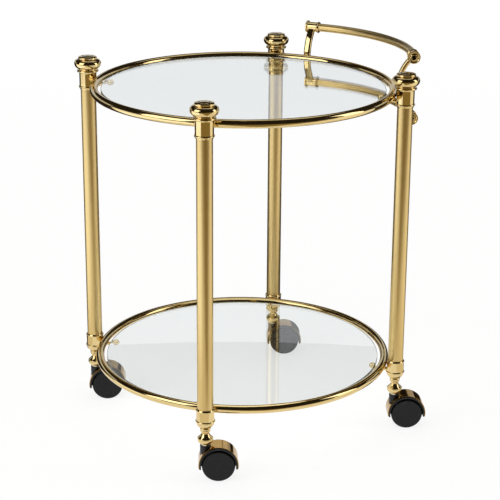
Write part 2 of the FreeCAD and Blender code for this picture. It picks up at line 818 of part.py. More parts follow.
def make_arm(side):
    """Flat bowed arm with rounded edges, notched for the corner barrels and saddled on the ring."""
    label = f"handle_arm_{side}"
    arm = new_body(f"{label}_bar")
    spread = size("rail_spread")
    bow = size("arm_bow")
    bend_radius = (spread * spread + bow * bow) / (bow * 2)
    thickness = size("arm_thickness") / 2
    width = size("arm_width") / 2
    edge = size("arm_edge")
    rise = edge * QUARTER_RISE
    section = new_sketch(arm, f"{label}_section", "XY_Plane")
    draw_outline(
        section,
        (-bend_radius - thickness, -width + edge),
        (-bend_radius - thickness + edge, -width, rise),
        (-bend_radius + thickness - edge, -width),
        (-bend_radius + thickness, -width + edge, rise),
        (-bend_radius + thickness, width - edge),
        (-bend_radius + thickness - edge, width, rise),
        (-bend_radius - thickness + edge, width),
        (-bend_radius - thickness, width - edge, rise),
    )
    revolve(arm, section, angle=arc_sine(spread / bend_radius) * 2)
    notches = new_sketch(arm, f"{label}_notches")
    notch = size("corner_radius") + size("braze_gap")
    draw_circles(notches, *[(bow - bend_radius, spread * sign, notch) for sign in RAILS.values()])
    pocket(arm, notches, size("arm_width") * 2, symmetric=True)
    place_at_arm(arm, side, upper_ring_height, bow - bend_radius)
    ring_envelope = document.addObject("Part::Torus", f"{label}_saddle")
    ring_envelope.setExpression("Radius1", ring_radius.formula)
    ring_envelope.setExpression("Radius2", (ring_tube_radius + size("braze_gap")).formula)
    place(ring_envelope, 0, axis_y, upper_ring_height)
    finish(cut(label, arm, ring_envelope), label)


# ----------------------------------------------------------------------------------------------------
# Casters: the swivel axis is the local Z axis, the axle lies along Y at the trail
# ----------------------------------------------------------------------------------------------------

def place_caster_piece(item, post, up):
    angle = size("post_angle") + POSTS[post]
    across = size("post_circle_radius") * cosine(angle)
    along = axis_y + size("post_circle_radius") * sine(angle)
    place(item, across, along, up, size("caster_angle"))


def make_stem(post):
    """Steel pin: snap groove and journal below, collar, and the threaded end that screws into the post."""
    label = f"caster_stem_{post}"
    stem = new_body(label)
    journal = size("stem_radius")
    groove_radius = journal - size("snap_depth")
    base = caster_height - size("stem_depth")
    groove_base = base + size("stem_tip")
    groove_top = groove_base + size("snap_width") + size("snap_play") * 2
    collar = size("stem_collar_radius")
    collar_base = caster_height + size("swivel_gap")
    top = tube_base + size("bottom_insert_length") - size("stem_top_gap")
    thread = size("thread_radius")
    section = new_sketch(stem, f"{label}_section")
    draw_outline(
        section,
        (0, base),
        (journal - edge_break, base),
        (journal, base + edge_break),
        (journal, groove_base),
        (groove_radius, groove_base),
        (groove_radius, groove_top),
        (journal, groove_top),
        (journal, collar_base),
        (collar, collar_base),
        (collar, socket_foot),
        (thread, socket_foot),
        (thread, top - edge_break),
        (thread - edge_break, top),
        (0, top),
    )
    revolve(stem, section)
    place_caster_piece(stem, post, 0)
    finish(stem, label)


def draw_fender_arch(sketch, radius):
    """Side view of a fender: a disc round the axle, cut off level a little below it."""
    drop = size("fender_drop")
    level = wheel_radius - drop
    half_chord = root(radius * radius - drop * drop)
    quarter_chord = root(half_chord * half_chord + (radius + drop) * (radius + drop))
    rise = radius - root(radius * radius - quarter_chord * quarter_chord / 4)
    draw_outline(
        sketch,
        (caster_trail - half_chord, level, rise),
        (caster_trail + half_chord, level),
        (caster_trail, wheel_radius + radius, rise),
    )


def make_caster_body(post):
    """Moulded body: neck, web between the wheels, and fenders round their upper halves."""
    label = f"caster_body_{post}"
    body = new_body(label)
    side = new_sketch(body, f"{label}_side")
    draw_fender_arch(side, fender_outer)
    pad(body, side, fender_half_width * 2, symmetric=True)
    neck = new_sketch(body, f"{label}_neck")
    neck_radius = size("caster_neck_radius")
    edge = size("neck_edge")
    neck_base = wheel_radius + size("axle_radius")
    draw_outline(
        neck,
        (0, neck_base),
        (neck_radius, neck_base),
        (neck_radius, caster_height - edge),
        (neck_radius - edge, caster_height),
        (0, caster_height),
    )
    revolve(body, neck)
    web = size("web_width") / 2
    for name, side in (("near", -1), ("far", 1)):
        well = new_sketch(body, f"{label}_{name}_well")
        draw_circles(well, (caster_trail, wheel_radius, fender_inner))
        well.setExpression("AttachmentOffset.Base.z", (-web * side).formula)
        pocket(body, well, fender_half_width, reversed_side=side < 0)
    axle_hole = new_sketch(body, f"{label}_axle_hole")
    draw_circles(axle_hole, (caster_trail, wheel_radius, size("axle_radius") + size("axle_press")))
    pocket(body, axle_hole, size("web_width") * 2, symmetric=True)
    bore = size("stem_radius") + size("axle_fit")
    lip = size("stem_radius") - size("snap_depth") + size("axle_fit")
    bore_base = caster_height - size("stem_depth") - size("stem_end_gap")
    lip_base = caster_height - size("stem_depth") + size("stem_tip") + size("snap_play")
    stem_bore = new_sketch(body, f"{label}_stem_bore")
    draw_outline(
        stem_bore,
        (0, bore_base),
        (bore, bore_base),
        (bore, lip_base),
        (lip, lip_base),
        (lip, lip_base + size("snap_width")),
        (bore, lip_base + size("snap_width")),
        (bore, caster_height),
        (0, caster_height),
    )
    groove(body, stem_bore)
    place_caster_piece(body, post, 0)
    finish(body, label)


def make_hood(post):
    """Sheet hood over the fender, open round the neck."""
    label = f"caster_hood_{post}"
    hood = new_body(label)
    outside = new_sketch(hood, f"{label}_outside")
    draw_fender_arch(outside, hood_outer)
    pad(hood, outside, (fender_half_width - size("hood_inset")) * 2, symmetric=True)
    inside = new_sketch(hood, f"{label}_inside")
    draw_circles(inside, (caster_trail, wheel_radius, hood_inner))
    pocket(hood, inside, fender_half_width * 4, symmetric=True)
    opening = new_sketch(hood, f"{label}_neck_opening", "XY_Plane")
    draw_circles(opening, (0, 0, size("caster_neck_radius") + size("neck_slot_gap")))
    pocket(hood, opening, caster_height * 2, reversed_side=True)
    place_caster_piece(hood, post, 0)
    finish(hood, label)


def place_on_axle(item, post):
    angle = size("post_angle") + POSTS[post]
    turn = size("caster_angle")
    across = size("post_circle_radius") * cosine(angle) + caster_trail * cosine(turn)
    along = axis_y + size("post_circle_radius") * sine(angle) + caster_trail * sine(turn)
    place(item, across, along, wheel_radius, turn)


def make_axle(post):
    label = f"caster_axle_{post}"
    axle = new_body(label)
    end = wheel_outer_side - size("wheel_face") - size("axle_end_gap")
    radius = size("axle_radius")
    bevel = size("axle_bevel")
    groove_radius = radius - size("snap_depth")
    groove_far = end - size("axle_tip")
    groove_near = groove_far - size("snap_width") - size("snap_play") * 2
    section = new_sketch(axle, f"{label}_section", "XY_Plane")
    draw_outline(
        section,
        (0, -end),
        (radius - bevel, -end),
        (radius, -end + bevel),
        (radius, -groove_far),
        (groove_radius, -groove_far),
        (groove_radius, -groove_near),
        (radius, -groove_near),
        (radius, groove_near),
        (groove_radius, groove_near),
        (groove_radius, groove_far),
        (radius, groove_far),
        (radius, end - bevel),
        (radius - bevel, end),
        (0, end),
    )
    revolve(axle, section)
    place_on_axle(axle, post)
    finish(axle, label)


def make_wheel(post, name, side):
    """Moulded wheel: rim with rounded tread, outer face, and hub on the axle. Side is -1 or 1 along the axle."""
    label = f"caster_wheel_{name}_{post}"
    wheel = new_body(label)
    near = wheel_inner_side
    far = wheel_outer_side
    rim_inner = wheel_radius - size("wheel_rim")
    face = far - size("wheel_face")
    bore = size("axle_radius") + size("axle_fit")
    edge = size("wheel_edge")
    bevel = size("wheel_bevel")
    lip = bore - size("snap_depth")
    lip_far = face - size("axle_end_gap") - size("axle_tip") - size("snap_play")
    lip_near = lip_far - size("snap_width")
    section = new_sketch(wheel, f"{label}_section", "XY_Plane")
    draw_outline(
        section,
        (bore, near * side),
        (size("hub_radius"), near * side),
        (size("hub_radius"), face * side),
        (rim_inner, face * side),
        (rim_inner, near * side),
        (wheel_radius - bevel, near * side),
        (wheel_radius, (near + bevel) * side),
        (wheel_radius, (far - edge) * side),
        (wheel_radius - edge, far * side, edge * QUARTER_RISE * side),
        (0, far * side),
        (0, face * side),
        (bore, face * side),
        (bore, lip_far * side),
        (lip, lip_far * side),
        (lip, lip_near * side),
        (bore, lip_near * side),
    )
    revolve(wheel, section)
    place_on_axle(wheel, post)
    finish(wheel, label)


# ----------------------------------------------------------------------------------------------------
# The trolley
# ----------------------------------------------------------------------------------------------------

make_ring("upper_ring", upper_ring_height)
make_ring("lower_ring", lower_ring_height)
make_glass("upper_glass", upper_ring_height)
make_glass("lower_glass", lower_ring_height)
make_pins("upper_glass_pins", upper_ring_height)
make_pins("lower_glass_pins", lower_ring_height)
make_inserts(
    "top_inserts",
    tube_base + tube_length - size("top_insert_length"),
    size("top_insert_length"),
    upper_ring_height - pin_drop,
)
make_inserts("bottom_inserts", tube_base, size("bottom_insert_length"))

for post in POSTS:
    make_tube(post)
    make_upper_sleeve(post)
    make_finial(post)
    make_foot_socket(post)
    make_stem(post)
    make_caster_body(post)
    make_hood(post)
    make_axle(post)
    make_wheel(post, "near", -1)
    make_wheel(post, "far", 1)

screws = []
for rail in RAILS:
    make_rail(rail)
    for side in HANDLE_SIDES:
        make_corner(rail, side)
        screws.append(make_handle_screw(f"handle_screw_{rail}_{side}", rail, side))
screw_group = document.addObject("Part::Compound", "handle_screws")
screw_group.Links = screws
finish(screw_group, "handle_screws")
for side in HANDLE_SIDES:
    make_arm(side)

document.recompute()


# ----------------------------------------------------------------------------------------------------
# Check and write
# ----------------------------------------------------------------------------------------------------

for item in document.Objects:
    if "Invalid" in item.State or "Error" in item.State:
        raise RuntimeError(f"{item.Name} failed: {item.State}")
for label, item in finished.items():
    if item.Shape.isNull() or not item.Shape.isValid() or item.Shape.Volume <= 0:
        raise RuntimeError(f"{label} has no valid solid")

os.makedirs("parts", exist_ok=True)
for label, item in finished.items():
    item.Shape.exportStep(f"parts/{label}.step")
print(len(finished), "sub-parts written")
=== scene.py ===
# %% [markdown]
# # Dressing a round dessert trolley
# The trolley is a frame of gold-plated brass: four satin tubes, two bright rings with glass laid inside,
# turned fittings at every joint, a bowed handle behind and four twin-wheel casters below.
# The solids come from CAD and are exact. This lesson gives them the look of the real thing:
# smooth turned pieces, worn edges, metal with a grain, and light that draws bands along the metal.

import math

import bpy
from mathutils import Euler, Matrix, Vector


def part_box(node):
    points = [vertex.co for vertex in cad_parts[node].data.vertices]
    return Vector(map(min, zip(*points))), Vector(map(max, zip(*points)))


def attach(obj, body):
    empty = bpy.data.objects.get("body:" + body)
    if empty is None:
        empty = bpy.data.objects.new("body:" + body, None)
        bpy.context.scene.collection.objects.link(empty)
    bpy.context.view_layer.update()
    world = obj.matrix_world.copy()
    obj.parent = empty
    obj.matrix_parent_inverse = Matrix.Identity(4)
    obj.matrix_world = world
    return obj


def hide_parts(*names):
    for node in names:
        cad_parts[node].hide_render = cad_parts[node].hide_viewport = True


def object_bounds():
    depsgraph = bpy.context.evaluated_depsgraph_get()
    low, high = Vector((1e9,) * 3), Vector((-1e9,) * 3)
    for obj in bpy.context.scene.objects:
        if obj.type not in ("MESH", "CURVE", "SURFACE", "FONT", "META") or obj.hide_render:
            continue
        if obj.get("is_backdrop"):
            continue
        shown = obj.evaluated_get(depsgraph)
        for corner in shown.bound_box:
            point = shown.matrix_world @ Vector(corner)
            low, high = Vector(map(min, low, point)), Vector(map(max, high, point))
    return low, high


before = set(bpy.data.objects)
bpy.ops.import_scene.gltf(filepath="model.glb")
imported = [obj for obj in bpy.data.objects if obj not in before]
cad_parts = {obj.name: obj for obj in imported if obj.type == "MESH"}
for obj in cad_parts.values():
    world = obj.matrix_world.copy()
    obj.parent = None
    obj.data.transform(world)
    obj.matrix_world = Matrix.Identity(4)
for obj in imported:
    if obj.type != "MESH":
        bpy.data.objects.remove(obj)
cad_size = [list(corner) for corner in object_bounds()]
MM = 0.001
POSTS = ("rear_right", "rear_left", "front_left", "front_right")


def middle(node):
    """The centre of a CAD node's box, in metres."""
    low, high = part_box(node)
    return (low + high) / 2


def half(node):
    """Half the size of a CAD node's box, in metres."""
    low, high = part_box(node)
    return (high - low) / 2


# %% [markdown]
# ## Camera
# The photograph looks down on the glass from a little above the handle, and from far away: near and far
# posts are almost equally tall. A long lens from almost three metres does that, where a wide one would
# splay the posts. The three angles are heading, tilt down, and a touch of roll.

# %% Camera
heading, tilt, roll = (math.radians(angle) for angle in (57.28, 18.92, 0.37))
turned_down = Euler((math.pi / 2 - tilt, 0, heading)).to_matrix()
alignment = (turned_down @ Matrix.Rotation(roll, 3, "Z")).to_euler()
bpy.ops.object.camera_add(location=(2.0426, -1.3168, 1.1071), rotation=alignment)
camera = bpy.context.object
camera.data.lens = 115.8
bpy.context.scene.camera = camera
bpy.context.scene.view_settings.view_transform = "Standard"
print("camera height in metres:", round(camera.location.z, 3))

# %% [markdown]
# ## Colours and nodes
# Paint charts give colours as sRGB codes, while shaders add light in linear values, so one function
# converts. Materials are built from nodes: one small function adds a node, sets its fields and fills or
# links its sockets.


# %% Colour and node helpers
def colour(code):
    """Linear values of an sRGB code such as #E6C88A."""
    parts = [int(code[start : start + 2], 16) / 255 for start in (1, 3, 5)]
    return (*(part / 12.92 if part <= 0.04045 else ((part + 0.055) / 1.055) ** 2.4 for part in parts), 1)


def new_material(name):
    """An empty node material."""
    material = bpy.data.materials.new(name)
    material.use_nodes = True
    material.node_tree.nodes.clear()
    return material, material.node_tree


def add(tree, kind, fields, sockets):
    """Add a node: fields are its settings, sockets its inputs, each a value or another node's output."""
    node = tree.nodes.new(kind)
    for name, value in fields.items():
        setattr(node, name, value)
    for name, value in sockets.items():
        if isinstance(value, bpy.types.NodeSocket):
            tree.links.new(value, node.inputs[name])
        else:
            node.inputs[name].default_value = value
    return node


print("white is", colour("#FFFFFF"))

# %% [markdown]
# ## Polished gold plate
# The rings, finials and fittings are brass, turned or bent, buffed to a mirror and gold plated.
# Its colour is nearly all reflection, so the shader is metallic with low roughness. Buffing is done by
# hand, so the surface rolls very slightly, which makes reflections wander, and fingers leave faintly duller
# patches. The caster hoods are pressed sheet from another bath, and a deeper gold.


# %% Polished gold plate
def make_polished_gold(name, tints):
    """Mirror-bright plate between two tints, rolled by the buffing wheel and dulled in patches by fingers."""
    material, tree = new_material(name)
    place = add(tree, "ShaderNodeTexCoord", {}, {}).outputs["Object"]
    # Buffing waves about 22 mm long.
    waves = add(tree, "ShaderNodeTexNoise", {}, {"Vector": place, "Scale": 1 / (22 * MM), "Detail": 1})
    # Wiping marks, really finer than 0.2 mm, drawn at 1.5 mm to show.
    marks = add(tree, "ShaderNodeTexNoise", {}, {"Vector": place, "Scale": 1 / (1.5 * MM), "Detail": 6})
    # Patches that fingers dull, about 30 mm across.
    patches = add(tree, "ShaderNodeTexNoise", {}, {"Vector": place, "Scale": 1 / (30 * MM), "Detail": 3})
    tint = add(
        tree,
        "ShaderNodeMix",
        {"data_type": "RGBA"},
        {"Factor": patches.outputs["Fac"], 6: colour(tints[0]), 7: colour(tints[1])},
    )
    dulled = add(
        tree,
        "ShaderNodeMapRange",
        {},
        {"Value": patches.outputs["Fac"], "From Min": 0.35, "From Max": 0.75, "To Min": 0.05, "To Max": 0.12},
    )
    rolled = add(
        tree,
        "ShaderNodeBump",
        {},
        {"Height": waves.outputs["Fac"], "Strength": 0.35, "Distance": 0.25 * MM},
    )
    wiped = add(
        tree,
        "ShaderNodeBump",
        {},
        {
            "Height": marks.outputs["Fac"],
            "Strength": 0.12,
            "Distance": 0.02 * MM,
            "Normal": rolled.outputs["Normal"],
        },
    )
    metal = add(
        tree,
        "ShaderNodeBsdfPrincipled",
        {},
        {
            "Base Color": tint.outputs[2],
            "Metallic": 1.0,
            "Roughness": dulled.outputs["Result"],
            "Normal": wiped.outputs["Normal"],
        },
    )
    add(tree, "ShaderNodeOutputMaterial", {}, {"Surface": metal.outputs["BSDF"]})
    return material


POLISHED = make_polished_gold("polished_gold_plate", ("#E6CF98", "#DCC084"))
GILT = make_polished_gold("gilt_hood_plate", ("#B8934E", "#A9823F"))
print("made", POLISHED.name, GILT.name)

# %% [markdown]
# ## Brushed gold
# The post tubes and the handle rails are the same plated brass, but drawn lengthwise through an abrasive
# belt. The scratches lie along the tube, so a reflection stays long and narrow but blurs sideways.
# A noise stretched along the tube gives the streaks. The rails are bent, so there the streaks follow the
# bend: the pattern reads distance from the bend's centre and height, which don't change along the rail.


# %% Brushed gold
def brushed_metal(tree, streaks):
    """Satin metal from a streak pattern: it tints, roughens and scores the surface."""
    tint = add(
        tree,
        "ShaderNodeMix",
        {"data_type": "RGBA"},
        {"Factor": streaks.outputs["Fac"], 6: colour("#D6BA7C"), 7: colour("#E7CB8C")},
    )
    satin = add(
        tree,
        "ShaderNodeMapRange",
        {},
        {"Value": streaks.outputs["Fac"], "From Min": 0.3, "From Max": 0.7, "To Min": 0.3, "To Max": 0.4},
    )
    score = add(
        tree,
        "ShaderNodeBump",
        {},
        {"Height": streaks.outputs["Fac"], "Strength": 0.3, "Distance": 0.05 * MM},
    )
    metal = add(
        tree,
        "ShaderNodeBsdfPrincipled",
        {},
        {
            "Base Color": tint.outputs[2],
            "Metallic": 1.0,
            "Roughness": satin.outputs["Result"],
            "Normal": score.outputs["Normal"],
        },
    )
    add(tree, "ShaderNodeOutputMaterial", {}, {"Surface": metal.outputs["BSDF"]})


def make_brushed_gold():
    """Satin gold for upright tubes, brushed along their height."""
    material, tree = new_material("brushed_gold_tube")
    place = add(tree, "ShaderNodeTexCoord", {}, {}).outputs["Object"]
    # Streaks are 0.1 mm wide in truth, drawn 1 mm wide and 90 mm long so that they show.
    stretch = add(
        tree,
        "ShaderNodeMapping",
        {},
        {"Vector": place, "Scale": (1 / (1 * MM), 1 / (1 * MM), 1 / (90 * MM))},
    )
    streaks = add(
        tree, "ShaderNodeTexNoise", {}, {"Vector": stretch.outputs["Vector"], "Scale": 1, "Detail": 4}
    )
    brushed_metal(tree, streaks)
    return material


BRUSHED = make_brushed_gold()
print("made", BRUSHED.name)


# %% Brushed gold along a bend
def make_brushed_rail(centre):
    """The same finish on a bar bent round a vertical axis through centre."""
    material, tree = new_material("brushed_gold_rail")
    place = add(tree, "ShaderNodeTexCoord", {}, {}).outputs["Object"]
    centred = add(
        tree, "ShaderNodeMapping", {}, {"Vector": place, "Location": (-centre.x, -centre.y, 0)}
    ).outputs["Vector"]
    parts = add(tree, "ShaderNodeSeparateXYZ", {}, {"Vector": centred})
    flat = add(tree, "ShaderNodeCombineXYZ", {}, {"X": parts.outputs["X"], "Y": parts.outputs["Y"]})
    reach = add(tree, "ShaderNodeVectorMath", {"operation": "LENGTH"}, {0: flat.outputs["Vector"]})
    # Along the rail the pattern changes slowly: by 3 mm for each radian of the bend.
    bearing = add(
        tree,
        "ShaderNodeMath",
        {"operation": "ARCTAN2"},
        {0: parts.outputs["Y"], 1: parts.outputs["X"]},
    )
    along = add(tree, "ShaderNodeMath", {"operation": "MULTIPLY"}, {0: bearing.outputs["Value"], 1: 3 * MM})
    grain = add(
        tree,
        "ShaderNodeCombineXYZ",
        {},
        {"X": reach.outputs["Value"], "Y": along.outputs["Value"], "Z": parts.outputs["Z"]},
    )
    streaks = add(
        tree,
        "ShaderNodeTexNoise",
        {},
        {"Vector": grain.outputs["Vector"], "Scale": 1 / (1 * MM), "Detail": 4},
    )
    brushed_metal(tree, streaks)
    return material


# %% [markdown]
# ## Glass
# The shelves are 5 mm clear float glass. Float glass is a shade green and takes a little light away, which
# is why white paper under it looks grey. The rim is ground, so it scatters and shows the green more.


# %% Float glass and its ground edge
def make_glass(name, tone, roughness, grain):
    """Glass of a tone and a roughness, slightly rougher in patches the size of the grain."""
    material, tree = new_material(name)
    place = add(tree, "ShaderNodeTexCoord", {}, {}).outputs["Object"]
    noise = add(tree, "ShaderNodeTexNoise", {}, {"Vector": place, "Scale": 1 / grain, "Detail": 3})
    surface = add(
        tree,
        "ShaderNodeMapRange",
        {},
        {
            "Value": noise.outputs["Fac"],
            "From Min": 0.4,
            "From Max": 0.8,
            "To Min": roughness,
            "To Max": roughness + 0.02,
        },
    )
    glass = add(
        tree,
        "ShaderNodeBsdfPrincipled",
        {},
        {
            "Base Color": colour(tone),
            "Transmission Weight": 1.0,
            "IOR": 1.52,
            "Roughness": surface.outputs["Result"],
        },
    )
    add(tree, "ShaderNodeOutputMaterial", {}, {"Surface": glass.outputs["BSDF"]})
    return material


GLASS = make_glass("clear_float_glass", "#F3F6F5", 0.0, 60 * MM)
GROUND = make_glass("ground_glass_edge", "#C9DDD4", 0.25, 1 * MM)
print("made", GLASS.name, "and", GROUND.name)

# %% [markdown]
# ## Nylon and steel
# Caster bodies and wheels are black nylon from a spark-eroded mould: matt, with a fine even grain.
# The stems and axles are zinc plated steel, the handle's screws are blackened.
# All four are one recipe with different numbers, because each is a tone, a roughness and a grain.


# %% Nylon and steel
def make_grained(name, tones, metallic, roughness, grain, depth, sheen=0.5):
    """A surface between two tones, with a grain of that size and depth, worn smoother in patches."""
    material, tree = new_material(name)
    place = add(tree, "ShaderNodeTexCoord", {}, {}).outputs["Object"]
    fine = add(tree, "ShaderNodeTexNoise", {}, {"Vector": place, "Scale": 1 / grain, "Detail": 3})
    broad = add(tree, "ShaderNodeTexNoise", {}, {"Vector": place, "Scale": 1 / (14 * MM), "Detail": 4})
    tint = add(
        tree,
        "ShaderNodeMix",
        {"data_type": "RGBA"},
        {"Factor": broad.outputs["Fac"], 6: colour(tones[0]), 7: colour(tones[1])},
    )
    worn = add(
        tree,
        "ShaderNodeMapRange",
        {},
        {
            "Value": broad.outputs["Fac"],
            "From Min": 0.3,
            "From Max": 0.7,
            "To Min": roughness - 0.06,
            "To Max": roughness + 0.06,
        },
    )
    relief = add(
        tree,
        "ShaderNodeBump",
        {},
        {"Height": fine.outputs["Fac"], "Strength": 0.4, "Distance": depth},
    )
    surface = add(
        tree,
        "ShaderNodeBsdfPrincipled",
        {},
        {
            "Base Color": tint.outputs[2],
            "Metallic": metallic,
            "Specular IOR Level": sheen,
            "Roughness": worn.outputs["Result"],
            "Normal": relief.outputs["Normal"],
        },
    )
    add(tree, "ShaderNodeOutputMaterial", {}, {"Surface": surface.outputs["BSDF"]})
    return material


# Mould grain is about 0.2 mm, drawn at 0.7 mm.
NYLON = make_grained("moulded_black_nylon", ("#0E0E10", "#141417"), 0.0, 0.36, 0.7 * MM, 0.03 * MM, 0.4)
TREAD = make_grained("wheel_nylon", ("#09090A", "#0D0D0E"), 0.0, 0.24, 0.9 * MM, 0.02 * MM, 0.28)
STEEL = make_grained("zinc_plated_steel", ("#B9B8B2", "#CFCDC6"), 1.0, 0.24, 0.6 * MM, 0.01 * MM)
SCREW = make_grained("blackened_steel", ("#2B2622", "#3A332D"), 1.0, 0.32, 0.5 * MM, 0.02 * MM)
print("made", NYLON.name, TREAD.name, STEEL.name, SCREW.name)

# %% [markdown]
# ## Drawing and turning
# Nearly everything here comes off a lathe, so it is drawn as half an outline and spun round its axis,
# as a potter's template would cut it. An outline is a list of (radius, height) points in millimetres.
# A third number bends the step into an arc, which bulges by that much to the right of the way of travel.
# The pencil is one vertex: it is extruded for a straight step and spun for an arc.


# %% Picking and naming
def alone(piece=None):
    """Pick one object, or none, so that an operator touches nothing else."""
    bpy.ops.object.select_all(action="DESELECT")
    if piece:
        piece.select_set(True)
        bpy.context.view_layer.objects.active = piece


def name_new(name):
    """Name the object just added and bring its origin to the trolley's."""
    piece = bpy.context.object
    piece.name = piece.data.name = name
    bpy.ops.object.transform_apply()
    return piece


print("ready to pick and name")


# %% Drawing an outline
def draw(name, outline):
    """Draw an outline in the plane Y = 0, from a plane merged to one vertex. Leaves edit mode on."""
    alone()
    x, z = outline[0][:2]
    bpy.ops.mesh.primitive_plane_add(size=MM, location=(x * MM, 0, z * MM))
    piece = name_new(name)
    bpy.ops.object.mode_set(mode="EDIT")
    bpy.ops.mesh.select_mode(type="VERT")
    bpy.ops.mesh.select_all(action="SELECT")
    bpy.ops.mesh.merge(type="CENTER")
    for step in outline[1:]:
        run, climb = step[0] - x, step[1] - z
        if len(step) == 3:
            chord = math.hypot(run, climb)
            sweep = 4 * math.atan(2 * step[2] / chord)
            back = 0.5 / math.tan(sweep / 2)
            centre = ((x + run / 2 - climb * back) * MM, 0, (z + climb / 2 + run * back) * MM)
            parts = max(3, round(abs(sweep) / math.radians(9)))
            bpy.ops.mesh.spin(steps=parts, angle=sweep, center=centre, axis=(0, 1, 0))
        else:
            bpy.ops.mesh.extrude_vertices_move(TRANSFORM_OT_translate={"value": (run * MM, 0, climb * MM)})
        x, z = step[:2]
    bpy.ops.mesh.select_all(action="SELECT")
    bpy.ops.mesh.remove_doubles(threshold=0.001 * MM)
    return piece


print("ready to draw")


# %% Turning and softening
def tidy_shell():
    """Close seams and poles, point every face outwards and leave edit mode."""
    bpy.ops.mesh.select_all(action="SELECT")
    bpy.ops.mesh.remove_doubles(threshold=0.001 * MM)
    bpy.ops.mesh.normals_make_consistent(inside=False)
    bpy.ops.object.mode_set(mode="OBJECT")


def soften(piece, width, sharp=28):
    """Break crisp edges as the buffing wheel does, then shade smooth with the broad faces kept true."""
    alone(piece)
    bevel = piece.modifiers.new("broken edges", "BEVEL")
    bevel.width = width * MM
    bevel.segments = 2
    bevel.angle_limit = math.radians(sharp)
    bpy.ops.object.modifier_apply(modifier=bevel.name)
    bpy.ops.object.shade_smooth()
    even = piece.modifiers.new("even shading", "WEIGHTED_NORMAL")
    even.keep_sharp = True
    bpy.ops.object.modifier_apply(modifier=even.name)


def turn(name, outline, width, steps=96):
    """A turned piece round the Z axis."""
    piece = draw(name, outline)
    bpy.ops.mesh.spin(steps=steps, angle=math.tau, center=(0, 0, 0), axis=(0, 0, 1))
    tidy_shell()
    soften(piece, width)
    return piece


print("ready to turn")


# %% Placing, copying and dressing
def settle(piece, place, turned=(0, 0, 0)):
    """Move a piece from the origin to its place and bake that into its mesh."""
    alone(piece)
    piece.location = place
    piece.rotation_euler = turned
    bpy.ops.object.transform_apply()
    return piece


def copy(piece, name):
    """A copy with its own mesh."""
    alone(piece)
    bpy.ops.object.duplicate()
    double = bpy.context.object
    double.name = double.data.name = name
    return double


def dress(piece, material, slot, body, *nodes):
    """Give a finished piece its material, the body it rides on and the CAD nodes it stands for."""
    if not piece.data.materials:
        piece.data.materials.append(material)
    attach(piece, body)
    if nodes:
        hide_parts(*nodes)
    print(piece.name, len(piece.data.polygons), "faces")


print("ready to dress")

# %% [markdown]
# ## The rings
# Each ring is round tube, rolled to a hoop, its joint filed and polished away. A circle spun round the
# trolley's axis is exactly that, and a fine one, because a mirror finish shows every facet.

# %% Rings
for level in ("upper", "lower"):
    size = half(f"{level}_ring")
    hoop = size.x - size.z
    alone()
    bpy.ops.mesh.primitive_circle_add(
        vertices=40, radius=size.z, location=(hoop, 0, 0), rotation=(math.pi / 2, 0, 0)
    )
    ring = name_new(f"{level}_hoop")
    bpy.ops.object.mode_set(mode="EDIT")
    bpy.ops.mesh.select_all(action="SELECT")
    bpy.ops.mesh.spin(steps=256, angle=math.tau, center=(0, 0, 0), axis=(0, 0, 1))
    tidy_shell()
    bpy.ops.object.shade_smooth()
    settle(ring, middle(f"{level}_ring"))
    dress(ring, POLISHED, "polished_gold", "frame", f"{level}_ring")
AXIS = middle("upper_ring")

# %% [markdown]
# ## The glass shelves
# A disc of glass rests on four pins, with a few millimetres of air between it and the ring. Its rim is
# ground with a small arris on both edges. A cylinder with a fine outline is bevelled on its two sharp rims,
# and the faces that don't lie flat get the ground finish.

# %% Glass
ARRIS = 0.7 * MM
for level in ("upper", "lower"):
    size = half(f"{level}_glass")
    alone()
    bpy.ops.mesh.primitive_cylinder_add(vertices=256, radius=size.x, depth=2 * size.z)
    disc = name_new(f"{level}_glass_disc")
    bpy.ops.object.mode_set(mode="EDIT")
    bpy.ops.mesh.select_mode(type="EDGE")
    bpy.ops.mesh.select_all(action="DESELECT")
    bpy.ops.mesh.edges_select_sharp(sharpness=math.radians(60))
    bpy.ops.mesh.bevel(offset=ARRIS, segments=3)
    tidy_shell()
    bpy.ops.object.shade_smooth_by_angle(angle=math.radians(10))
    disc.data.materials.append(GLASS)
    disc.data.materials.append(GROUND)
    for face in disc.data.polygons:
        face.material_index = 0 if abs(face.normal.z) > 0.99 else 1
    settle(disc, middle(f"{level}_glass"))
    # Light passes glass, so it throws no shadow of its own.
    disc.visible_shadow = False
    dress(disc, GLASS, "clear_glass", "frame", f"{level}_glass")

# %% [markdown]
# ## The glass pins
# Four pins a shelf reach in from the posts, under the ring, and end in a small domed knob beneath the
# glass. Each is turned from bar, with a neck where it passes the ring. It is drawn upright, then laid down
# to point at the trolley's axis, and the four of one shelf are joined, as they are one node in the model.

# %% Pins
PIN = (
    (0, 7),
    (2.8, 7),
    (2.8, 17.9),
    (2.8, 22.9, -0.5),
    (2.8, 32.9),
    (3.4, 32.9),
    (4.6, 34.1, 0.35),
    (4.6, 37.3),
    (0, 41.9, 1.35),
)
pin_pattern = turn("pin_pattern", PIN, 0.15, steps=48)
for level in ("upper", "lower"):
    height = middle(f"{level}_glass_pins").z
    pins = []
    for post in POSTS:
        foot = middle(f"post_tube_{post}")
        inwards = math.atan2(AXIS.y - foot.y, AXIS.x - foot.x)
        pin = copy(pin_pattern, f"{level}_knob_pins" if not pins else f"{level}_pin_{post}")
        pins.append(settle(pin, (foot.x, foot.y, height), (0, math.pi / 2, inwards)))
    alone(pins[0])
    for pin in pins:
        pin.select_set(True)
    bpy.ops.object.join()
    dress(pins[0], POLISHED, "polished_gold", "frame", f"{level}_glass_pins")
bpy.data.objects.remove(pin_pattern)

# %% [markdown]
# ## The posts
# A post is a satin tube in bright fittings. From the top: a finial of waist, round bulb and capped button;
# a sleeve with a flange above and a bead below; the tube; and a socket shaped like a baluster, which takes
# the tube's foot and tapers to a ball above the caster. Each is turned once and copied to every post.

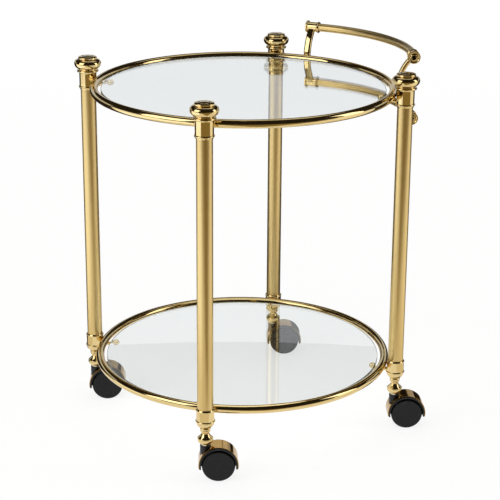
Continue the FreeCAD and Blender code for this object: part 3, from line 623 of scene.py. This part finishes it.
# %% Post outlines, about the height each is centred on
TUBE = ((10.8, 0), (12, 0), (12, 452), (10.8, 452), (10.8, 0))
SLEEVE = (
    (12.05, -16.5),
    (13.1, -16.5),
    (13.6, -14.8),
    (13.6, -11.4, 1.2),
    (13.6, 8.5),
    (15.2, 10.2, -0.567),
    (15.2, 14, 1.89),
    (4.08, 14),
    (4.08, 9),
    (12.05, 9),
    (12.05, -16.5),
)
FINIAL = (
    (0, -20),
    (3.4, -20),
    (4, -19.4),
    (4, 0),
    (13.8, 0),
    (13.8, 1.6),
    (21, 9.6, 2),
    (15.6, 16.2, 1.7),
    (13.6, 16.7),
    (14.6, 17.2),
    (14.6, 19.2),
    (13.6, 20.2, 0.293),
    (9.4, 20.7, 0.1),
    (8.6, 20.2, -0.1),
    (7.8, 20.7, -0.1),
    (0, 21.3, 0.12),
)
SOCKET = (
    (4.08, 0),
    (6.8, 0),
    (6.8, 1.4),
    (11.7, 9.4, 2),
    (11.6, 10.8, 0.2),
    (5.6, 17.8, -0.5),
    (6.1, 19.6),
    (7.6, 23.6, 0.9),
    (7.1, 27.6, 0.9),
    (13.6, 36.4, 1.9),
    (13.6, 39.8, 1.2),
    (13.6, 54.6),
    (13.6, 56.867, 0.6),
    (13, 58),
    (12.05, 58),
    (12.05, 44.5),
    (4.08, 44.5),
    (4.08, 0),
)
print("socket outline:", len(SOCKET), "steps, finial outline:", len(FINIAL), "steps")

# %% Turn the post pieces and stand them
FITTINGS = (
    ("post_tube", "satin_tube", TUBE, 0.15, BRUSHED, "brushed_gold"),
    ("upper_sleeve", "bright_sleeve", SLEEVE, 0.2, POLISHED, "polished_gold"),
    ("finial", "bright_finial", FINIAL, 0.25, POLISHED, "polished_gold"),
    ("foot_socket", "bright_socket", SOCKET, 0.25, POLISHED, "polished_gold"),
)
for node, title, outline, width, material, slot in FITTINGS:
    pattern = turn(f"{title}_pattern", outline, width)
    low = min(step[1] for step in outline) * MM
    for post in POSTS:
        foot = middle(f"{node}_{post}")
        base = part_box(f"{node}_{post}")[0].z
        piece = settle(copy(pattern, f"{title}_{post}"), (foot.x, foot.y, base - low))
        dress(piece, material, slot, "frame", f"{node}_{post}")
    bpy.data.objects.remove(pattern)

# %% [markdown]
# ## The handle
# Two bars bent to the same curve as the ring, one above and one below it, joined by two bowed arms that are
# brazed to the ring. The bars end in turned corners, each closed by a screw in a sunk eye.
# A bar is swept as a pipe bender works: straight, round the bend, straight again.

# %% Handle measures, from the CAD nodes
RAIL_BEND, RAIL_RADIUS, RAIL_STRAIGHT, RAIL_ENTRY = 229.6 * MM, 6.5 * MM, 12.6 * MM, 1 * MM
HALF_BEND = math.radians(33)
bend_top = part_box("handle_upper_rail")[1].y
BEND_CENTRE = Vector((0, bend_top - RAIL_RADIUS - RAIL_BEND, 0))
RAIL_FINISH = make_brushed_rail(BEND_CENTRE)
SIDES = {"right": -1, "left": 1}


def rail_end(side):
    """Where the bend ends on that side, and the way the straight runs on from there."""
    angle = math.pi / 2 + HALF_BEND * SIDES[side]
    end = BEND_CENTRE + RAIL_BEND * Vector((math.cos(angle), math.sin(angle), 0))
    return end, SIDES[side] * Vector((-math.sin(angle), math.cos(angle), 0)), angle


print("rail bend's centre:", BEND_CENTRE)

# %% Rails
for rail in ("upper", "lower"):
    height = Vector((0, 0, middle(f"handle_{rail}_rail").z))
    end, onward, angle = rail_end("right")
    start = end + onward * (RAIL_STRAIGHT + RAIL_ENTRY) + height
    alone()
    bpy.ops.mesh.primitive_circle_add(
        vertices=40, radius=RAIL_RADIUS, location=start, rotation=(math.pi / 2, 0, angle)
    )
    bar = name_new(f"{rail}_satin_rail")
    bpy.ops.object.mode_set(mode="EDIT")
    bpy.ops.mesh.select_mode(type="VERT")
    bpy.ops.mesh.select_all(action="SELECT")
    bpy.ops.mesh.extrude_region_move(
        TRANSFORM_OT_translate={"value": -onward * (RAIL_STRAIGHT + RAIL_ENTRY)}
    )
    bpy.ops.mesh.spin(steps=72, angle=2 * HALF_BEND, center=BEND_CENTRE, axis=(0, 0, -1))
    onward = rail_end("left")[1]
    bpy.ops.mesh.extrude_region_move(
        TRANSFORM_OT_translate={"value": onward * (RAIL_STRAIGHT + RAIL_ENTRY)}
    )
    bpy.ops.mesh.select_all(action="SELECT")
    bpy.ops.mesh.fill_holes(sides=0)
    tidy_shell()
    bpy.ops.object.shade_smooth_by_angle(angle=math.radians(40))
    dress(bar, RAIL_FINISH, "brushed_gold", "frame", f"handle_{rail}_rail")

# %% Corners
CORNER = (
    (6.55, -12.2),
    (6.55, 1.05),
    (1.98, 1.05),
    (1.98, 4.4),
    (3.4, 4.4),
    (3.4, 10),
    (4.6, 10),
    (8, 10, 0.9),
    (9.2, 10),
    (10, 9.2, -0.234),
    (10, 7.6),
    (7.9, 6, 0.8),
    (7.9, -8.6),
    (7.9, -12.2, -1.5),
    (6.55, -12.2),
)
corner_pattern = turn("corner_pattern", CORNER, 0.15, steps=64)
for rail in ("upper", "lower"):
    for side in SIDES:
        end, onward, angle = rail_end(side)
        place = end + onward * RAIL_STRAIGHT + Vector((0, 0, middle(f"handle_{rail}_rail").z))
        facing = math.atan2(onward.y, onward.x)
        piece = settle(
            copy(corner_pattern, f"bright_corner_{rail}_{side}"), place, (0, math.pi / 2, facing)
        )
        dress(piece, POLISHED, "polished_gold", "frame", f"handle_corner_{rail}_{side}")
bpy.data.objects.remove(corner_pattern)

# %% [markdown]
# An arm is flat bar with rounded edges, bowed towards the glass. It is coped at both ends to sit on the
# corner barrels, and hollowed in the middle to sit on the ring, so brazing has something to hold.
# The section is a plane with bevelled corners, spun through the bow, and the copes are cut by booleans.


# %% Cutting
def cut_away(piece, tool, operation="DIFFERENCE"):
    """Cut a tool from a piece, or join it, and throw the tool away."""
    alone(piece)
    blade = piece.modifiers.new("cut", "BOOLEAN")
    blade.object = tool
    blade.operation = operation
    blade.solver = "EXACT"
    bpy.ops.object.modifier_apply(modifier=blade.name)
    bpy.data.objects.remove(tool)


print("ready to cut")

# %% Arms
ARM_SPREAD, ARM_BOW = 48 * MM, 22 * MM
ARM_THICK, ARM_WIDE, ARM_ROUND = 7.6 * MM, 11.6 * MM, 3.2 * MM
COPE_RADIUS, COPE_LENGTH, SADDLE_FIT = 7.92 * MM, 40 * MM, 0.02 * MM
ARM_BEND = (ARM_SPREAD**2 + ARM_BOW**2) / (2 * ARM_BOW)
arm_angle = math.asin(ARM_SPREAD / ARM_BEND)
ring_size = half("upper_ring")
for side in SIDES:
    alone()
    bpy.ops.mesh.primitive_plane_add(size=1)
    arm = bpy.context.object
    arm.scale = (ARM_THICK, ARM_WIDE, 1)
    bpy.ops.object.transform_apply()
    arm.location = (-ARM_BEND * math.cos(arm_angle), 0, -ARM_SPREAD)
    arm.rotation_euler = (0, -arm_angle, 0)
    arm = name_new(f"bowed_arm_{side}")
    bpy.ops.object.mode_set(mode="EDIT")
    bpy.ops.mesh.select_all(action="SELECT")
    bpy.ops.mesh.bevel(offset=ARM_ROUND, segments=6, affect="VERTICES")
    bpy.ops.mesh.select_all(action="SELECT")
    bpy.ops.mesh.spin(steps=64, angle=2 * arm_angle, center=(0, 0, 0), axis=(0, -1, 0))
    tidy_shell()
    end, onward, angle = rail_end(side)
    outwards = Vector((math.cos(angle), math.sin(angle), 0))
    centre = end + onward * RAIL_STRAIGHT + outwards * (ARM_BEND - ARM_BOW) + Vector((0, 0, AXIS.z))
    settle(arm, centre, (0, 0, angle))
    for rail in ("upper", "lower"):
        barrel = end + onward * RAIL_STRAIGHT + Vector((0, 0, middle(f"handle_{rail}_rail").z))
        alone()
        bpy.ops.mesh.primitive_cylinder_add(
            vertices=64,
            radius=COPE_RADIUS,
            depth=COPE_LENGTH,
            location=barrel,
            rotation=(math.pi / 2, 0, angle),
        )
        cut_away(arm, bpy.context.object)
    alone()
    bpy.ops.mesh.primitive_torus_add(
        major_segments=256,
        minor_segments=48,
        major_radius=ring_size.x - ring_size.z,
        minor_radius=ring_size.z + SADDLE_FIT,
        location=AXIS,
    )
    cut_away(arm, bpy.context.object)
    alone(arm)
    bpy.ops.object.shade_smooth_by_angle(angle=math.radians(35))
    dress(arm, POLISHED, "polished_gold", "frame", f"handle_arm_{side}")

# %% [markdown]
# ## The casters
# A twin-wheel caster is moulded in black nylon: a neck that takes the stem, a web between the wheels, and
# a fender that wraps the upper half of both. A gilt sheet hood snaps over the fender, slotted round the
# neck. The body is drawn as an arch, widened, joined to its neck, hollowed by two wells and bored. All is
# made once in the caster's own frame, with the swivel axis at the origin and the axle trailing behind it.

# %% Caster measures in millimetres, and its tools
WHEEL, TRAIL, DROP = 25, 19.3, 5
FENDER_OUT, FENDER_IN, FENDER_HALF, WEB_HALF = 29, 26.6, 16.8, 4.5
WELL_DEPTH = 20
AXLE_BORE, AXLE_BORE_LENGTH = 3.02, 30
STEM_BORE, STEM_BORE_FLOOR, STEM_BORE_DEPTH = 3.06, 33.5, 24
HOOD_OUT, HOOD_IN, HOOD_WIDTH = 30.15, 29.05, 29
HOOD_SLOT, HOOD_SLOT_MIDDLE, HOOD_SLOT_DEPTH = 8.5, 50, 80
CASTER_TURN = math.radians(60)


def arch(radius):
    """Side view of an arch round the axle, from its level foot over the top to the other foot."""
    foot = math.sqrt(radius * radius - DROP * DROP)
    top = math.hypot(foot, radius + DROP)
    rise = radius - math.sqrt(radius * radius - top * top / 4)
    return (
        (TRAIL + foot, WHEEL - DROP),
        (TRAIL, WHEEL + radius, rise),
        (TRAIL - foot, WHEEL - DROP, rise),
    )


def widen(piece, width):
    """Fill the drawn outline and give it a width, centred on the plane that it was drawn in."""
    bpy.ops.mesh.edge_face_add()
    bpy.ops.mesh.extrude_region_move(TRANSFORM_OT_translate={"value": (0, width, 0)})
    bpy.ops.mesh.select_all(action="SELECT")
    bpy.ops.transform.translate(value=(0, -width / 2, 0))
    tidy_shell()
    return piece


def rod(radius, depth, location, rotation=(0, 0, 0)):
    """A round cutter."""
    alone()
    bpy.ops.mesh.primitive_cylinder_add(
        vertices=128, radius=radius * MM, depth=depth * MM, location=location, rotation=rotation
    )
    return bpy.context.object


print("wheel diameter in millimetres:", 2 * WHEEL)

# %% Caster body
AXLE = Vector((TRAIL * MM, 0, WHEEL * MM))
UPON_SIDE = (math.pi / 2, 0, 0)
side_view = arch(FENDER_OUT)
body_pattern = widen(draw("caster_pattern", (*side_view, side_view[0])), 2 * FENDER_HALF * MM)
NECK = ((0, 28), (8.2, 28), (8.2, 53.2), (7.4, 54), (0, 54))
neck = draw("neck", NECK)
bpy.ops.mesh.spin(steps=96, angle=math.tau, center=(0, 0, 0), axis=(0, 0, 1))
tidy_shell()
cut_away(body_pattern, neck, "UNION")
for way in (-1, 1):
    well_middle = AXLE + Vector((0, way * (WEB_HALF + WELL_DEPTH / 2) * MM, 0))
    cut_away(body_pattern, rod(FENDER_IN, WELL_DEPTH, well_middle, UPON_SIDE))
cut_away(body_pattern, rod(AXLE_BORE, AXLE_BORE_LENGTH, AXLE, UPON_SIDE))
bore_middle = (0, 0, (STEM_BORE_FLOOR + STEM_BORE_DEPTH / 2) * MM)
cut_away(body_pattern, rod(STEM_BORE, STEM_BORE_DEPTH, bore_middle))
soften(body_pattern, 0.35)
print(body_pattern.name, len(body_pattern.data.polygons), "faces")

# %% Hood
outer, inner = arch(HOOD_OUT), arch(HOOD_IN)
bulge = -inner[1][2]
shell = (*outer, inner[2][:2], (*inner[1][:2], bulge), (*inner[0], bulge), outer[0])
hood_pattern = widen(draw("hood_pattern", shell), HOOD_WIDTH * MM)
cut_away(hood_pattern, rod(HOOD_SLOT, HOOD_SLOT_DEPTH, (0, 0, HOOD_SLOT_MIDDLE * MM)))
soften(hood_pattern, 0.25)
print(hood_pattern.name, len(hood_pattern.data.polygons), "faces")

# %% Wheel
WHEEL_SECTION = (
    (3.06, 5),
    (6.2, 5),
    (6.2, 13.8),
    (20.8, 13.8),
    (20.8, 5),
    (24.2, 5),
    (25, 5.8),
    (25, 13.4),
    (22, 16.4, 0.88),
    (21.6, 16.4),
    (21.2, 16.2),
    (0, 16.1),
    (0, 13.8),
    (3.06, 13.8),
    (3.06, 5),
)
wheel_pattern = turn("wheel_pattern", WHEEL_SECTION, 0.2)
print(wheel_pattern.name, len(wheel_pattern.data.polygons), "faces")

# %% Stand the casters
for post in POSTS:
    foot = middle(f"caster_stem_{post}")
    stand = Vector((foot.x, foot.y, 0))
    body = settle(copy(body_pattern, f"nylon_body_{post}"), stand, (0, 0, CASTER_TURN))
    dress(body, NYLON, "black_nylon", f"caster_{post}", f"caster_body_{post}")
    hood = settle(copy(hood_pattern, f"gilt_hood_{post}"), stand, (0, 0, CASTER_TURN))
    dress(hood, GILT, "polished_gold", f"caster_{post}", f"caster_hood_{post}")
    hub = stand + Matrix.Rotation(CASTER_TURN, 3, "Z") @ AXLE
    for name, way in (("near", 1), ("far", -1)):
        laid = (way * math.pi / 2, 0, CASTER_TURN)
        wheel = settle(copy(wheel_pattern, f"nylon_wheel_{name}_{post}"), hub, laid)
        dress(wheel, TREAD, "black_nylon", f"wheel_{name}_{post}", f"caster_wheel_{name}_{post}")
for pattern in (body_pattern, hood_pattern, wheel_pattern):
    bpy.data.objects.remove(pattern)

# %% [markdown]
# ## Small steel pieces
# The stems, axles, screws and the threaded inserts in the tubes keep their CAD shape, which is exact and
# mostly out of sight. They only need their metals.

# %% Materials of the CAD nodes that stay
KEPT = {"caster_stem": STEEL, "caster_axle": STEEL, "handle_screws": SCREW, "inserts": STEEL}
for name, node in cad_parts.items():
    for part, material in KEPT.items():
        if part in name:
            node.data.materials.clear()
            node.data.materials.append(material)
            print(name, "is", material.name)

# %% [markdown]
# ## Studio
# Polished metal shows its surroundings, so the studio is part of the finish. The photograph's dark bands
# are the unlit room behind the camera, the cream ones are lit boards, and the gold below is the white floor.
# Soft boxes hang left, right and overhead. Dark cloths and glowing boards lie or stand where the room was
# dark or lit: the boards are painted light. Reflections alone see them: they neither shade the trolley nor
# appear in a picture.


# %% What the camera and soft light see
def lit_white(tree, glow, shade):
    """Mix so that the camera, mirrors and glass see the first shader, and soft light the second."""
    path = add(tree, "ShaderNodeLightPath", {}, {})
    seen = add(
        tree,
        "ShaderNodeMath",
        {"operation": "MAXIMUM"},
        {0: path.outputs["Is Camera Ray"], 1: path.outputs["Is Glossy Ray"]},
    )
    seen_all = add(
        tree,
        "ShaderNodeMath",
        {"operation": "MAXIMUM"},
        {0: seen.outputs["Value"], 1: path.outputs["Is Transmission Ray"]},
    )
    return add(
        tree,
        "ShaderNodeMixShader",
        {},
        {"Fac": seen_all.outputs["Value"], 1: shade.outputs[0], 2: glow.outputs[0]},
    )


print("ready to light")

# %% World
world = bpy.data.worlds.new("studio")
world.use_nodes = True
world.node_tree.nodes.clear()
bpy.context.scene.world = world
tree = world.node_tree
white = add(tree, "ShaderNodeBackground", {}, {"Color": colour("#FFFFFF"), "Strength": 1.0})
fill = add(tree, "ShaderNodeBackground", {}, {"Color": colour("#FFFFFF"), "Strength": 0.42})
mixed = lit_white(tree, white, fill)
add(tree, "ShaderNodeOutputWorld", {}, {"Surface": mixed.outputs["Shader"]})
print("world is white to the camera")

# %% Floor
FLOOR, tree = new_material("pale_studio_floor")
place = add(tree, "ShaderNodeTexCoord", {}, {}).outputs["Object"]
paper = add(tree, "ShaderNodeTexNoise", {}, {"Vector": place, "Scale": 1 / (60 * MM), "Detail": 2})
tone = add(
    tree,
    "ShaderNodeMix",
    {"data_type": "RGBA"},
    {"Factor": paper.outputs["Fac"], 6: colour("#F4F4F3"), 7: colour("#F7F7F6")},
)
matt = add(tree, "ShaderNodeBsdfDiffuse", {}, {"Color": tone.outputs[2]})
# The floor glows: painted light, stronger far away, where the boxes reach less, so the paper stays evenly
# white.
reach = add(tree, "ShaderNodeVectorMath", {"operation": "LENGTH"}, {0: place})
far_glow = add(
    tree,
    "ShaderNodeMapRange",
    {},
    {"Value": reach.outputs["Value"], "From Min": 0.5, "From Max": 3.5, "To Min": 0.84, "To Max": 0.91},
)
glow = add(tree, "ShaderNodeEmission", {}, {"Color": colour("#FFFFFF"), "Strength": far_glow.outputs["Result"]})
faint = add(tree, "ShaderNodeBsdfDiffuse", {}, {"Color": colour("#828281")})
lifted = add(tree, "ShaderNodeAddShader", {}, {0: faint.outputs["BSDF"], 1: glow.outputs["Emission"]})
mixed = lit_white(tree, lifted, matt)
add(tree, "ShaderNodeOutputMaterial", {}, {"Surface": mixed.outputs["Shader"]})
alone()
bpy.ops.mesh.primitive_plane_add(size=60)
floor = name_new("studio_floor")
floor.data.materials.append(FLOOR)
floor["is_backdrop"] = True
print("floor is white to the camera and keeps the shadow")

# %% Soft boxes
TO_CAMERA = Vector((math.sin(heading), -math.cos(heading), 0))
TO_RIGHT = Vector((math.cos(heading), math.sin(heading), 0))
AIM = Vector((AXIS.x, AXIS.y, 0.3))


def around(bearing, climb, distance):
    """A point round the trolley: bearing from the camera towards the picture's right, climb above level."""
    bearing, climb = math.radians(bearing), math.radians(climb)
    level = TO_CAMERA * math.cos(bearing) + TO_RIGHT * math.sin(bearing)
    return AIM + (level * math.cos(climb) + Vector((0, 0, math.sin(climb)))) * distance


def soft_box(name, bearing, climb, distance, width, height, brightness):
    """An area lamp that faces the trolley; brightness 1 looks white in a mirror."""
    place = around(bearing, climb, distance)
    facing = (place - AIM).to_track_quat("Z", "Y").to_euler()
    bpy.ops.object.light_add(type="AREA", location=place, rotation=facing)
    lamp = bpy.context.object
    lamp.name = name
    lamp.data.shape = "RECTANGLE"
    lamp.data.size = width
    lamp.data.size_y = height
    lamp.data.energy = brightness * math.pi * width * height
    lamp.visible_camera = False
    print(name, "watts:", round(lamp.data.energy, 1))


soft_box("left_box", -58, 30, 2.4, 1.5, 1.7, 2.1)
soft_box("right_box", 84, 24, 2.4, 0.8, 1.6, 2.1)
soft_box("top_box", 180, 68, 2.4, 2, 1.3, 0.7)

# %% [markdown]
# Round the boxes hangs the dark of the unlit room, as one dome of grey-black cloth, with a glowing pale wall
# in front of it behind the trolley, which the glass mirrors. On the floor, cloths lie where the photograph's
# floor was dark, and glowing white boards where it was brightly lit, painted light that only mirrors see:
# seen from above, an upright tube mirrors only the floor, however tall it is, so its long bands are drawn
# there.
# Nearly every sheet is an outline swept round the trolley. One is a flat sheet cut to a wedge.


# %% Cloths and boards
def studio_cloth(name, code, brightness=None):
    """Matt cloth, or a sheet that glows at a brightness: painted light that only mirrors see."""
    material, tree = new_material(name)
    if brightness:
        face = add(tree, "ShaderNodeEmission", {}, {"Color": colour(code), "Strength": brightness})
    else:
        face = add(tree, "ShaderNodeBsdfDiffuse", {}, {"Color": colour(code)})
    add(tree, "ShaderNodeOutputMaterial", {}, {"Surface": face.outputs[0]})
    return material


def mirrored_only(sheet, material):
    """Give a sheet its material and hide it from everything but mirrors."""
    sheet.data.materials.append(material)
    for ray in ("camera", "diffuse", "transmission", "shadow", "volume_scatter"):
        setattr(sheet, f"visible_{ray}", False)
    sheet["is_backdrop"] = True


def surround(name, first, last, outline, material):
    """Sweep an outline in metres (distance, height) round the trolley from bearing first to last."""
    sheet = draw(name, [tuple(value / MM for value in step) for step in outline])
    sweep = math.radians(last - first)
    bpy.ops.mesh.spin(steps=32, angle=sweep, center=(0, 0, 0), axis=(0, 0, -1))
    tidy_shell()
    settle(sheet, (AXIS.x, AXIS.y, 0), (0, 0, heading - math.pi / 2 + math.radians(first)))
    mirrored_only(sheet, material)
    print(name, "spans", last - first, "degrees")


def floor_sheet(name, corners, material):
    """Lay a sheet on the floor with corners (bearing, distance) from the trolley's axis."""
    alone()
    bpy.ops.mesh.primitive_circle_add(vertices=len(corners), radius=1, fill_type="NGON")
    sheet = name_new(name)
    for vertex, (bearing, distance) in zip(sheet.data.vertices, corners):
        spot = around(bearing, 0, distance)
        vertex.co = (spot.x, spot.y, 0.003)
    mirrored_only(sheet, material)
    print(name, "has", len(corners), "corners")


print("ready to hang and lay")

# %% Hang and lay them
DARK = studio_cloth("unlit_room_cloth", "#3A332B")
# Sheets given a brightness glow though they are no lamps: painted light and painted reflections for the metal
# and glass.
DIM = studio_cloth("dim_floor_cloth", "#8F7D50", 1.0)
NEAR = studio_cloth("shaded_floor_cloth", "#EAE4D4", 1.0)
PALE = studio_cloth("glowing_rear_wall", "#CDD0D5", 1.0)
LEFT = studio_cloth("glowing_left_board", "#EEF4FF", 1.7)
RIGHT = studio_cloth("glowing_right_board", "#FFFDF8", 1.1)
surround("room_dome", 0, 360, ((4.2, 0.65), (0.1, 4.5, 1.15)), DARK)
surround("front_wall", -60, 70, ((4.2, 0.002), (4.2, 0.65)), DARK)
surround("rear_wall", 110, 250, ((3.6, 0.002), (3.6, 1.56)), PALE)
surround("near_floor", -180, 180, ((0.42, 0.001), (0.7, 0.001)), NEAR)
surround("left_floor", -104, -34, ((0.65, 0.002), (2.6, 0.002)), LEFT)
surround("right_floor", 54, 102, ((0.65, 0.002), (2.6, 0.002)), RIGHT)
surround("left_rear_cloth", -172, -108, ((0.36, 0.003), (3.5, 0.003), (3.5, 0.65)), DARK)
surround("right_rear_cloth", 108, 166, ((0.36, 0.003), (3.5, 0.003), (3.5, 0.65)), DARK)
# The dark of the room comes towards the trolley as a wedge, with its point nearest.
WEDGE = (
    (14, 0.46),
    (-3, 0.85),
    (-13, 1.3),
    (-36, 2),
    (-44, 4.2),
    (-10, 4.2),
    (20, 4.2),
    (54, 4.2),
    (68, 2),
    (44, 1.3),
    (30, 0.85),
)
floor_sheet("front_cloth", WEDGE, DIM)

# %% [markdown]
# ## Measure and finish
# The dressed trolley has to keep the size of the solids, so both boxes are written down and compared.

# %% Sizes
new_size = [list(corner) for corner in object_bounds()]
for axis in range(3):
    for corner in (0, 1):
        apart = (new_size[corner][axis] - cad_size[corner][axis]) / MM
        print("XYZ"[axis], corner, round(apart, 2), "mm apart")
